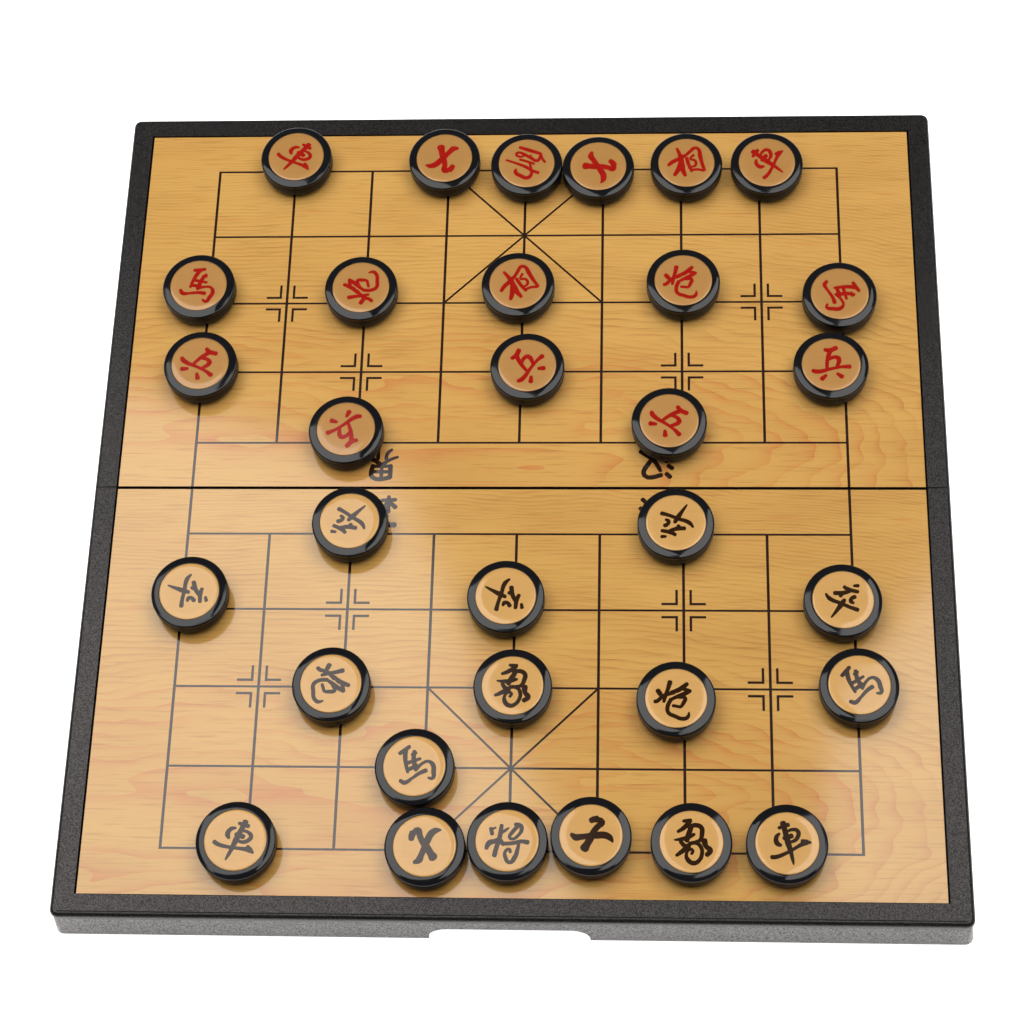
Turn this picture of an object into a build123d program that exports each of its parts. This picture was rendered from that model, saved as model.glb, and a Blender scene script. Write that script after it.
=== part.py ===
from build123d import *
import os
from math import atan, degrees

# Folding case for a magnetic Chinese chess (xiangqi) set, opened flat with the board up.
# Two moulded trays hinge at the seam and fold downwards, so that their hollows meet and the
# boards end outside. X runs along the seam, Y from the near half to the far half, Z up.
# The origin is on the table, in the middle of the opened case. All sizes are in millimetres.

# ---- Chess pieces ----------------------------------------------------------------------
piece_diameter = 22.0
piece_height = 7.2

# ---- Board grid ------------------------------------------------------------------------
file_gap = 2.0               # between pieces on neighbouring files
rank_gap = 1.5               # between pieces on neighbouring ranks of one half
river_gap = 7.3              # between pieces that face each other across the river
side_margin = 11.0           # from a piece on an outer file to the panel's end
front_margin = 2.0           # from a piece on an outer rank to the panel's front edge

# ---- Panels ----------------------------------------------------------------------------
panel_thickness = 0.8
panel_sunk = 0.5             # panel face below the frame's top
panel_side_gap = 0.5
panel_front_gap = 0.25
panel_seam_gap = 0.9         # between the two panels at the seam
steel_thickness = 0.4
steel_inset = 1.0            # steel sheet's edge inside the panel's edge

# ---- Tray ------------------------------------------------------------------------------
frame_side = 6.5             # frame's top beside the panel's recess
frame_front = 6.3            # frame's top in front of the panel's recess
case_height = 16.0           # one opened half, table to frame top
lip_height = 3.4             # rounded band below the frame's top
lip_overhang = 0.5           # lip beyond the top of the skirt under it
flare = 1.45                 # how far the rim stands out beyond the lip
edge_radius = 1.3            # rounding between the frame's top and the lip
foot_radius = 0.6            # rounding under the lip
corner_radius = 2.3          # plan radius of the lip's corners
skirt_corner_radius = 0.6    # plan radius of the skirt's corners at its top
inner_corner_radius = 0.8    # plan radius of the hollow's corners at its ceiling
wall = 3.0                   # from the lip's face to the top of the hollow
spine_wall = 2.6             # wall along the seam
floor_thickness = 1.8        # plate between the panel's recess and the hollow
seam_gap = 0.3               # between the two spine walls

# ---- Line moulded into the near half's front frame -------------------------------------
line_inset = 1.5             # middle of the line from the lip's face
line_end = 2.3               # from the line's ends to the lip's side faces
line_width = 0.35
line_depth = 0.5

# ---- Shiplap rim -----------------------------------------------------------------------
lap_inset = 1.6              # lap face inside the rim's outer edge
lap_gap = 0.3                # between the near skin and the far lip
lap_end_gap = 0.2            # beyond the far lip's edge when the case is shut
lap_far_start = 4.2          # the far lip begins this far from the seam
lap_near_start = 3.6         # the near rebate begins this far from the seam
step_inset = 0.45            # shadow step round the near skin's foot
step_height = 1.2

# ---- Hinge -----------------------------------------------------------------------------
barrel_radius = 1.8
barrel_table_gap = 0.2       # under the knuckles of the opened case
pin_radius = 0.8
pin_fit = 0.05               # radial
knuckle_length = 10.0
knuckle_gap = 0.25
knuckle_count = 3            # near and far in turn, beginning and ending with near
hinge_inset = 27.0           # middle of each hinge from the end of the lip
relief_gap = 0.3             # around a knuckle in the opposite spine wall
blind_end = 1.5              # plastic left at the outer end of each pin's bore
pin_end_gap = 0.3
web_height = 2.6             # web from a knuckle up into its spine wall

# ---- Snap ------------------------------------------------------------------------------
snap_place = 55.0            # middle of each snap bead from the case's middle
snap_length = 14.0
bead_radius = 0.7
bead_height = 0.45           # bead above the lap face
bead_gap = 0.15              # around the bead in its socket

# ---- Finger notch ----------------------------------------------------------------------
notch_width = 44.4
notch_height = 7.6
notch_radius = 5.5

# ---- Opening position ------------------------------------------------------------------
# Army, kind, which of its kind, file (0 in the middle), rank (0 nearest), and how far the
# piece stands off its point along X and Y, in file gaps, as a player puts it down.
PIECES = [
    ("red", "chariot", "left", -3, 9, 0.4, 0.5),
    ("red", "advisor", "left", -1, 9, -0.5, 0.05),
    ("red", "general", "", 0, 9, 0.25, -1.0),
    ("red", "advisor", "right", 1, 9, -0.7, -1.6),
    ("red", "elephant", "right", 2, 9, 0.8, -1.1),
    ("red", "chariot", "right", 3, 9, 1.1, -1.15),
    ("red", "horse", "left", -4, 7, -1.05, 1.2),
    ("red", "cannon", "left", -2, 7, -0.3, 0.75),
    ("red", "elephant", "left", 0, 7, -0.6, 1.3),
    ("red", "cannon", "right", 2, 7, 0.2, 1.75),
    ("red", "horse", "right", 4, 7, -0.6, -0.65),
    ("red", "soldier", "1", -4, 6, 0.25, -0.35),
    ("red", "soldier", "3", 0, 6, 1.1, -0.8),
    ("red", "soldier", "5", 4, 6, -2.25, -0.75),
    ("red", "soldier", "2", -2, 5, -1.3, 0.55),
    ("red", "soldier", "4", 2, 5, -2.0, 1.85),
    ("black", "soldier", "2", -2, 4, 0.05, 0.5),
    ("black", "soldier", "4", 2, 4, -1.1, 0.3),
    ("black", "soldier", "1", -4, 3, 1.65, 1.25),
    ("black", "soldier", "3", 0, 3, -1.15, 0.75),
    ("black", "soldier", "5", 4, 3, -1.8, 0.35),
    ("black", "cannon", "left", -2, 2, -1.25, -0.75),
    ("black", "elephant", "left", 0, 2, 0.15, -0.9),
    ("black", "cannon", "right", 2, 2, -1.2, -2.6),
    ("black", "horse", "right", 4, 2, 0.0, -0.5),
    ("black", "horse", "left", -1, 1, -1.05, -0.9),
    ("black", "chariot", "left", -3, 0, -1.0, 0.2),
    ("black", "advisor", "left", -1, 0, 0.8, -0.35),
    ("black", "general", "", 0, 0, -0.05, 0.5),
    ("black", "advisor", "right", 1, 0, -0.75, 1.35),
    ("black", "elephant", "right", 2, 0, 0.75, 0.6),
    ("black", "chariot", "right", 3, 0, 1.55, 0.5),
]

# ---- Levels and planes that follow from the sizes --------------------------------------
NEAR = -1
FAR = 1
FILES = 9
RANKS_PER_HALF = 5
NEAR_BANK = RANKS_PER_HALF - 1
FAR_BANK = RANKS_PER_HALF
file_spacing = piece_diameter + file_gap
rank_spacing = piece_diameter + rank_gap
river_width = piece_diameter + river_gap
panel_width = (FILES - 1) * file_spacing + piece_diameter + 2 * side_margin
panel_front = river_width / 2 + NEAR_BANK * rank_spacing + piece_diameter / 2 + front_margin
lip_width = panel_width + 2 * (panel_side_gap + frame_side)
half_length = panel_front + panel_front_gap + frame_front
axis_height = barrel_radius + barrel_table_gap
lap_height = 2 * axis_height
skirt_height = case_height - lip_height
skirt_slant = lip_overhang + flare
draft = degrees(atan(skirt_slant / skirt_height))
recess_depth = panel_sunk + panel_thickness + steel_thickness
recess_level = case_height - recess_depth
ceiling = recess_level - floor_thickness
panel_level = case_height - panel_sunk
spine_face = seam_gap / 2
spine_inside = spine_face + spine_wall
spine_foot = axis_height + lap_end_gap / 2
lap_x = lip_width / 2 + flare - lap_inset
lap_y = half_length + flare - lap_inset
rim_corner = skirt_corner_radius + skirt_slant
lap_corner = rim_corner - lap_inset
hinge_place = lip_width / 2 - hinge_inset
case_x = lip_width / 2 + flare
case_y = half_length + flare
BEYOND = 10.0                # how far a cutting tool passes what it cuts


def block(low, high):
    """Box between two corners."""
    size = [b - a for a, b in zip(low, high)]
    middle = [(a + b) / 2 for a, b in zip(low, high)]
    return Pos(*middle) * Box(*size)


def plate(half_x, half_y, radius, low, high):
    """Upright plate with a rounded plan, centred on the seam, between two levels."""
    plan = Plane.XY.offset(low) * RectangleRounded(2 * half_x, 2 * half_y, radius)
    return extrude(plan, high - low)


def drafted(half_x, half_y, radius, high):
    """Plug that widens from a rounded plan at one level down to the table."""
    plan = Plane.XY.offset(high) * RectangleRounded(2 * half_x, 2 * half_y, radius)
    return extrude(plan, -high, taper=-draft)


def beyond(side, start):
    """Everything on one side of the seam, from a distance off it."""
    far_edge = side * (case_y + BEYOND)
    ends = sorted((side * start, far_edge))
    reach = case_x + BEYOND
    return block((-reach, ends[0], -BEYOND), (reach, ends[1], case_height + BEYOND))


def near_seam(side, half_x, length, top):
    """Tool that clears the foot of a wall beside the seam."""
    ends = sorted((-side * BEYOND, side * length))
    return block((-half_x, ends[0], -BEYOND), (half_x, ends[1], top))


def outside_of_case():
    """Both halves as one block: rounded lip on top, flared skirt set back under it."""
    lip = plate(lip_width / 2, half_length, corner_radius, skirt_height, case_height)
    lip = fillet(lip.faces().sort_by(Axis.Z)[-1].edges(), edge_radius)
    lip = fillet(lip.faces().sort_by(Axis.Z)[0].edges(), foot_radius)
    skirt = drafted(lip_width / 2 - lip_overhang, half_length - lip_overhang,
                    skirt_corner_radius, skirt_height)
    return lip + skirt


def hollow(side):
    """Storage space of one half, open towards the table."""
    half_x = lip_width / 2 - wall
    half_y = half_length - wall
    space = drafted(half_x, half_y, inner_corner_radius, ceiling)
    return space & beyond(side, spine_inside)


def recess(side):
    """Sunk place for the steel sheet and the panel, open at the seam."""
    half_x = panel_width / 2 + panel_side_gap
    ends = sorted((0, side * (panel_front + panel_front_gap)))
    high = case_height + BEYOND
    return block((-half_x, ends[0], recess_level), (half_x, ends[1], high))


def moulded_line():
    """Fine straight line in the near half's front frame, short of both corners."""
    half_x = lip_width / 2 - line_end
    y = NEAR * (half_length - line_inset)
    low = (-half_x, y - line_width / 2, case_height - line_depth)
    return block(low, (half_x, y + line_width / 2, case_height + BEYOND))


def finger_notch():
    """Opening in the near half's front wall, to pull the shut case open."""
    mouth = Rectangle(notch_width, 2 * notch_height)
    mouth = fillet(mouth.vertices(), notch_radius)
    front = Plane.XZ.offset(half_length - BEYOND)
    return extrude(front * mouth, 2 * BEYOND + flare)


def near_lap():
    """Tool that leaves the near half's skin standing outside the far half's lip."""
    grow = lap_gap / 2
    rebate = plate(lap_x + grow, lap_y + grow, lap_corner + grow,
                   -BEYOND, lap_height + lap_end_gap)
    rebate = rebate & beyond(NEAR, lap_near_start)
    return rebate + near_seam(NEAR, lap_x + grow, lap_near_start, spine_foot)


def shadow_step():
    """Step round the foot of the near half's skin, a dark line between the shut halves."""
    reach = -BEYOND
    ring = block((-case_x - BEYOND, -case_y - BEYOND, reach),
                 (case_x + BEYOND, -lap_near_start, step_height))
    return ring - plate(case_x - step_inset, case_y - step_inset, rim_corner - step_inset,
                        reach, step_height)


def far_lap():
    """Tool that leaves the far half's lip standing inside the near half's skin."""
    shrink = lap_gap / 2
    top = lap_height + lap_end_gap
    ring = block((-case_x - BEYOND, -case_y - BEYOND, -BEYOND),
                 (case_x + BEYOND, case_y + BEYOND, top))
    ring -= plate(lap_x - shrink, lap_y - shrink, lap_corner - shrink, -BEYOND, top)
    return ring + near_seam(FAR, case_x + BEYOND, lap_far_start, spine_foot)


def along_x(radius, length, x, y, z):
    """Round bar along X about a middle point."""
    return Pos(x, y, z) * Rot(0, 90, 0) * Cylinder(radius, length)


def snap(radius, extra_length, side):
    """Bars along the lap face that make the snap beads or their sockets."""
    y = side * (lap_y - lap_gap / 2 + bead_height - bead_radius)
    length = snap_length + extra_length
    beads = [along_x(radius, length, x, y, axis_height) for x in (-snap_place, snap_place)]
    return beads[0] + beads[1]


def knuckle_places(middle, side):
    """Middles along X of the knuckles that one half has in one hinge."""
    pitch = knuckle_length + knuckle_gap
    first = middle - pitch * (knuckle_count - 1) / 2
    turn = 0 if side == NEAR else 1
    return [first + pitch * n for n in range(knuckle_count) if n % 2 == turn]


def knuckle(side, x):
    """One knuckle and the web that joins it to its own spine wall."""
    barrel = along_x(barrel_radius, knuckle_length, x, 0, axis_height)
    ends = sorted((0, side * spine_inside))
    half = knuckle_length / 2
    web = block((x - half, ends[0], axis_height), (x + half, ends[1], axis_height + web_height))
    return barrel + web


def hinge_length():
    """Length of one hinge, from end to end of its knuckles."""
    return knuckle_count * knuckle_length + (knuckle_count - 1) * knuckle_gap


def pin_span(middle):
    """Inner and outer end of a pin; its bore is blind at the outer end."""
    outward = 1 if middle > 0 else -1
    inner = middle - outward * hinge_length() / 2
    outer = middle + outward * (hinge_length() / 2 - blind_end)
    return inner, outer


def pin_bar(middle, radius, shorter, longer):
    """Bar on the hinge's axis from the pin's inner end to its outer end."""
    inner, outer = pin_span(middle)
    outward = 1 if middle > 0 else -1
    ends = (inner - outward * longer, outer - outward * shorter)
    return along_x(radius, abs(ends[1] - ends[0]), sum(ends) / 2, 0, axis_height)


def with_hinges(shell, side):
    """Adds one half's knuckles and bores, and clears the other half's knuckles."""
    for middle in (-hinge_place, hinge_place):
        for x in knuckle_places(middle, -side):
            length = knuckle_length + 2 * knuckle_gap
            shell -= along_x(barrel_radius + relief_gap, length, x, 0, axis_height)
        for x in knuckle_places(middle, side):
            shell += knuckle(side, x)
        shell -= pin_bar(middle, pin_radius + pin_fit, 0, knuckle_gap)
    return shell


def case_shell(side):
    """One moulded tray."""
    shell = outside_of_case() & beyond(side, spine_face)
    shell -= hollow(side)
    shell -= recess(side)
    if side == NEAR:
        shell -= moulded_line()
        shell -= near_lap()
        shell -= shadow_step()
        shell -= finger_notch()
        shell -= snap(bead_radius + bead_gap, 2 * bead_gap, NEAR)
    else:
        shell -= far_lap()
        shell += snap(bead_radius, 0, FAR)
    return with_hinges(shell, side)


def board_panel(side):
    """Printed board panel, resting on the steel sheet."""
    ends = sorted((side * panel_seam_gap / 2, side * panel_front))
    half_x = panel_width / 2
    low = recess_level + steel_thickness
    return block((-half_x, ends[0], low), (half_x, ends[1], panel_level))


def steel_plate(side):
    """Thin steel sheet that the magnets hold on to."""
    start = panel_seam_gap / 2 + steel_inset
    stop = panel_front - steel_inset
    ends = sorted((side * start, side * stop))
    half_x = panel_width / 2 - steel_inset
    high = recess_level + steel_thickness
    return block((-half_x, ends[0], recess_level), (half_x, ends[1], high))


def chess_piece(file, rank, off_x, off_y):
    """One chess piece, standing on the panel beside or on its point of the grid."""
    side = FAR if rank >= FAR_BANK else NEAR
    steps = rank - FAR_BANK if side == FAR else NEAR_BANK - rank
    x = file * file_spacing + off_x * file_gap
    y = side * (river_width / 2 + steps * rank_spacing) + off_y * file_gap
    grounded = (Align.CENTER, Align.CENTER, Align.MIN)
    return Pos(x, y, panel_level) * Cylinder(piece_diameter / 2, piece_height, align=grounded)


def all_nodes():
    """Every node's name and its solid."""
    nodes = {}
    for name, side in (("near", NEAR), ("far", FAR)):
        nodes[f"{name}_case_shell"] = case_shell(side)
        nodes[f"{name}_board_panel"] = board_panel(side)
        nodes[f"{name}_steel_plate"] = steel_plate(side)
    for name, middle in (("left", -hinge_place), ("right", hinge_place)):
        nodes[f"hinge_pin_{name}"] = pin_bar(middle, pin_radius, pin_end_gap, 0)
    for army, kind, which, file, rank, off_x, off_y in PIECES:
        name = "_".join(word for word in (army, kind, which) if word)
        nodes[name] = chess_piece(file, rank, off_x, off_y)
    return nodes


os.makedirs("parts", exist_ok=True)
for name, solid in all_nodes().items():
    solid.label = name
    export_step(solid, f"parts/{name}.step")
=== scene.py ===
from math import atan2, radians
import bpy
from mathutils import Matrix, Vector


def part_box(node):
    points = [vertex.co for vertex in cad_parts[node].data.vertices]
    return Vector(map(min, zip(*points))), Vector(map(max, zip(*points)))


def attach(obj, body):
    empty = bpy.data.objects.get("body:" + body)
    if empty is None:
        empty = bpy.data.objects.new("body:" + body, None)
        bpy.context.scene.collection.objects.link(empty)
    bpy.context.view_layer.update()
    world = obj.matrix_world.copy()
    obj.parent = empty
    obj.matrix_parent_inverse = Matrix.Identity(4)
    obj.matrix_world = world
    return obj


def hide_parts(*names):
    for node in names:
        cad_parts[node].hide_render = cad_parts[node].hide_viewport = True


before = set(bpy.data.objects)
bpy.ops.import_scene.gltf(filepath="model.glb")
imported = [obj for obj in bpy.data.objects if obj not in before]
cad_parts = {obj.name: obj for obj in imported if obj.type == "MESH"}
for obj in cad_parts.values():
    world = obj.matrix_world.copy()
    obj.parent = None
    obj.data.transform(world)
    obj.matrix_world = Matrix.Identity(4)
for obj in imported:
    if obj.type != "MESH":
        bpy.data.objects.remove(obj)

bl_info = {
    "name": "Folding Xiangqi Set",
    "version": (1, 0, 0),
    "blender": (4, 5, 0),
    "location": "View3D > Sidebar > Xiangqi",
    "description": "Dresses the folding magnetic Chinese chess set, opened with its men set up",
    "category": "Object",
}

MM = 0.001
MEN = sorted(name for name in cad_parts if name.startswith(("red_", "black_")))
BOARD_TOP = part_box("near_board_panel")[1].z
CASE_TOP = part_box("near_case_shell")[1].z
MAN_LOW, MAN_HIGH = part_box("red_general")
MAN_RADIUS = (MAN_HIGH.x - MAN_LOW.x) / 2
MAN_HEIGHT = MAN_HIGH.z - MAN_LOW.z
HALVES = {"near": "near_half", "far": "far_half"}
LACQUER_IOR = 1.48
LAMINATE_IOR = 1.63
# Roughness of the laminate and of the ink under it, and rings within the figure's reach.
GLOSS = 0.09
FIGURE_RINGS = 8.0
# Edges that turn less are shaded smooth, and places this close together count as one.
SMOOTH_BELOW = radians(35)
SLACK = 0.01 * MM

# Each light's name, its power's setting, its back top corner, the directions of its two edges
# and their lengths, in metres.
LIGHTS = (
    ("softbox_left", "left_power", (-0.199, 0.626, 1.35), (0.389, -0.908, -0.153),
     (-0.611, -0.13, -0.781), 0.83, 0.85),
    ("softbox_right", "right_power", (0.213, 0.397, 1.35), (0.375, 0.251, -0.892),
     (-0.14, -0.936, -0.322), 0.75, 0.77),
    ("ceiling", "ceiling_power", (-1.2, 2.1, 2.1), (1, 0, 0), (0, -1, 0), 2.4, 2.4),
)
# The camera's place, in metres, and its turn about X, Y and Z, in degrees.
CAMERA_PLACE = (0.03558, -0.27072, 0.61189)
CAMERA_TURN = (23.842, 2.946, 1.403)
SENSOR_WIDTH = 36
FLOOR_SIDE = 6
FLOOR_GAP = 0.05 * MM


def srgb(text):
    """Linear colour of an sRGB hex value."""
    channels = [int(text[start:start + 2], 16) / 255 for start in (1, 3, 5)]
    linear = [c / 12.92 if c <= 0.04045 else ((c + 0.055) / 1.055) ** 2.4 for c in channels]
    return (*linear, 1.0)


def colour(text, name, description):
    """Colour property with its default as sRGB hex."""
    return bpy.props.FloatVectorProperty(
        name=name, description=description, default=srgb(text),
        subtype="COLOR", size=4, min=0, max=1)


def length(millimetres, name, description):
    """Length property with its default in millimetres."""
    return bpy.props.FloatProperty(
        name=name, description=description, default=millimetres * MM,
        unit="LENGTH", min=0, precision=5)


def number(value, name, description, unit="NONE", least=0):
    """Property that is a plain number, a lamp's power or a lens."""
    return bpy.props.FloatProperty(
        name=name, description=description, default=value, unit=unit, min=least)


# ---- Settings --------------------------------------------------------------------------

class StudioSettings(bpy.types.PropertyGroup):
    """Floor, light and camera."""
    floor_colour: colour("#fbfbfa", "Floor", "Seamless white paper under the set")
    floor_glow: number(1.1, "Floor glow", "Light that comes through the paper")
    left_power: number(6.3, "Left softbox", "Power of the softbox on the left", "POWER")
    right_power: number(5.3, "Right softbox", "Power of the softbox on the right", "POWER")
    ceiling_power: number(43.0, "Ceiling", "Power of the wide soft light overhead", "POWER")
    fill: number(0.1, "Fill", "Light from the room all round")
    room: colour("#f2f4f7", "Room", "Colour of the light from the room")
    lens: number(79.0, "Lens", "Focal length on a 36 mm wide sensor", "CAMERA", 1)


class CaseSettings(bpy.types.PropertyGroup):
    """Moulded case with its hinges."""
    plastic: colour("#0b0a0a", "Plastic", "Black ABS of both halves")
    worn: colour("#201f1e", "Worn grain", "Tops of the pebbles on the rim")
    # The walls' lit grains are painted glints: grey where the light catches them.
    glint_grey: colour("#463d3a", "Dusty grain", "Lit grains on the walls")
    # The rim lies 47.3 pebbles up. At a whole number the noise would flatten out there.
    grain: length(0.338, "Grain", "Width of one pebble of the spark-eroded grain")
    wall_grain: length(0.55, "Wall grain", "Width of one grain on the walls")
    lip: length(3.3, "Lip", "Height of the lip round the rim")
    foot: length(1.2, "Foot", "Height of the stepped foot")
    grain_depth: length(0.06, "Grain depth", "Height of the pebbles")


class BoardSettings(bpy.types.PropertyGroup):
    """Printed laminate on both halves."""
    file_spacing: length(24.0, "File spacing", "Between two of the nine files")
    rank_spacing: length(23.5, "Rank spacing", "Between two ranks of one half")
    river_width: length(29.3, "River", "Between the two ranks beside the river")
    file_line: length(0.8, "File line", "Width of the lines that run away from the player")
    rank_line: length(0.62, "Rank line", "Width of the lines that run along the seam")
    mark_gap: length(2.0, "Mark gap", "From a line to the corner marks beside it")
    mark_arm: length(4.3, "Mark arm", "Length of each arm of a corner mark")
    mark_line: length(0.72, "Mark line", "Width of the corner marks")
    sign_place: length(40.3, "Sign place", "Middle of each river sign from the middle file")
    sign_depth: length(7.6, "Sign depth", "Middle of each river sign from the seam")
    sign_size: length(10.0, "Sign size", "Height of a river sign")
    ink_height: length(0.03, "Ink height", "Print above the laminate")
    roll_step: length(109.0, "Roll step", "How far on the far half is cut from the printed roll")
    figure_line: length(100.0, "Figure line", "Middle of the growth figure from the seam")
    figure_reach: length(112.0, "Figure reach", "Tip of the figure's eighth ring from the middle")
    figure_height: length(40.0, "Figure height", "The eighth ring's half height")
    wood: colour("#c0944f", "Wood", "Ground colour of the printed wood")
    wood_deep: colour("#b98c49", "Deep wood", "Broad darker bands of the printed wood")
    grain: colour("#80491d", "Grain", "Pores and late wood of the printed wood")
    ring: colour("#b46235", "Ring", "Open growth rings of the printed wood")
    core: colour("#2b2018", "Core", "Cut edges of the panels")
    ink: colour("#24130b", "Ink", "Lines and signs of the board")


class ManSettings(bpy.types.PropertyGroup):
    """Chess men."""
    shoulder_radius: length(0.5, "Shoulder radius", "Turn from the rim into the side")
    foot_radius: length(3.4, "Foot radius", "Rounding of the side into the foot")
    face_radius: length(8.62, "Face radius", "Disc in the man's top")
    face_rise: length(0.1, "Face rise", "Disc's top above the rim")
    face_thickness: length(0.8, "Face thickness", "Thickness of the disc")
    face_fall: length(0.1, "Face fall", "How far the disc's rim falls off")
    face_edge: length(0.2, "Face edge", "Rounding of the disc's edge")
    hole_edge: length(0.06, "Hole edge", "Rounding of the cup's edge round the disc")
    fit: length(0.03, "Fit", "Between the disc and the cup")
    sign_size: length(11.0, "Sign size", "Height of the sign on the disc")
    sign_height: length(0.04, "Sign height", "Print above the disc")
    magnet_radius: length(6.0, "Magnet radius", "Magnet in the man's foot")
    magnet_thickness: length(1.2, "Magnet thickness", "Thickness of the magnet")
    magnet_inset: length(0.3, "Magnet inset", "Magnet's foot above the man's")
    magnet_edge: length(0.12, "Magnet edge", "Broken edge of the magnet")
    cup: colour("#0c0c0e", "Cup", "Black polystyrene of the cup")
    face: colour("#bb8d4a", "Face", "Printed film on the black army's discs")
    # The red army's discs take the black army's film painted darker: painted shade for the weaker
    # light on the far half, where they stand.
    far_face_shaded: colour("#a67739", "Deep face", "Printed film on the red army's discs")
    red: colour("#8c0e04", "Red sign", "Signs of the red army")
    dark: colour("#261200", "Dark sign", "Signs of the black army")


# ---- Small tools -----------------------------------------------------------------------

def grains(*sizes):
    """Pattern scale for grains of this many millimetres, one size or one for each axis."""
    scales = tuple(1 / (size * MM) for size in sizes)
    return scales if len(scales) > 1 else scales[0]


def node(tree, kind, inputs=None, **settings):
    """Adds a node; an input is a value, an output, or a node that gives its first output."""
    made = tree.nodes.new(kind)
    for name, value in settings.items():
        setattr(made, name, value)
    for name, value in (inputs or {}).items():
        if isinstance(value, bpy.types.Node):
            value = value.outputs[0]
        if isinstance(value, bpy.types.NodeSocket):
            tree.links.new(value, made.inputs[name])
        else:
            made.inputs[name].default_value = value
    return made


def new_material(name):
    """Material, its node tree, and the object coordinates that its patterns read."""
    material = bpy.data.materials.new(name)
    material.use_nodes = True
    tree = material.node_tree
    tree.nodes.clear()
    return material, tree, node(tree, "ShaderNodeTexCoord").outputs["Object"]


def deselect():
    """Nothing stays selected."""
    for item in bpy.context.selected_objects:
        item.select_set(False)


def only(item):
    """Makes one object the selected and active one."""
    deselect()
    item.select_set(True)
    bpy.context.view_layer.objects.active = item


def blank(radius, low, high, vertices=64):
    """Cylinder on the Z axis between two levels, in edit mode, to be shaped."""
    deselect()
    bpy.ops.mesh.primitive_cylinder_add(
        vertices=vertices, radius=radius, depth=high - low, location=(0, 0, (low + high) / 2))
    item = bpy.context.view_layer.objects.active
    settle(item)
    bpy.ops.object.mode_set(mode="EDIT")
    bpy.ops.mesh.select_mode(type="FACE")
    return item


def shaped(item):
    """Leaves edit mode and shades the shape, soft where it turns only a little."""
    bpy.ops.object.mode_set(mode="OBJECT")
    bpy.ops.object.shade_smooth_by_angle(angle=SMOOTH_BELOW)
    return item


def settle(item):
    """Puts an object's place, turn and scale into its mesh."""
    only(item)
    bpy.ops.object.transform_apply(location=True, rotation=True, scale=True)


def join(items, name):
    """Joins objects into one with its origin in the middle of the case."""
    deselect()
    for item in items:
        item.select_set(True)
    bpy.context.view_layer.objects.active = items[0]
    if len(items) > 1:
        bpy.ops.object.join()
    whole = bpy.context.view_layer.objects.active
    settle(whole)
    whole.name = name
    return whole


def copy_of(item, name, place):
    """Copy with its own mesh, moved by a matrix inside the mesh."""
    copy = item.copy()
    copy.data = item.data.copy()
    copy.data.transform(place)
    copy.data.update()
    copy.name = name
    bpy.context.scene.collection.objects.link(copy)
    return copy


def dress(item, material):
    """Gives an object one material."""
    item.data.materials.clear()
    item.data.materials.append(material)


def seat(item, body, slot):
    """Lets a piece ride on a body. The slot is not used."""
    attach(item, body)


def select_faces(mesh, wanted):
    """In edit mode, selects the faces that a test accepts, and nothing else."""
    bpy.ops.mesh.select_all(action="DESELECT")
    bpy.ops.object.mode_set(mode="OBJECT")
    for face in mesh.polygons:
        face.select = wanted(face)
    bpy.ops.object.mode_set(mode="EDIT")


# ---- Materials -------------------------------------------------------------------------

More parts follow.
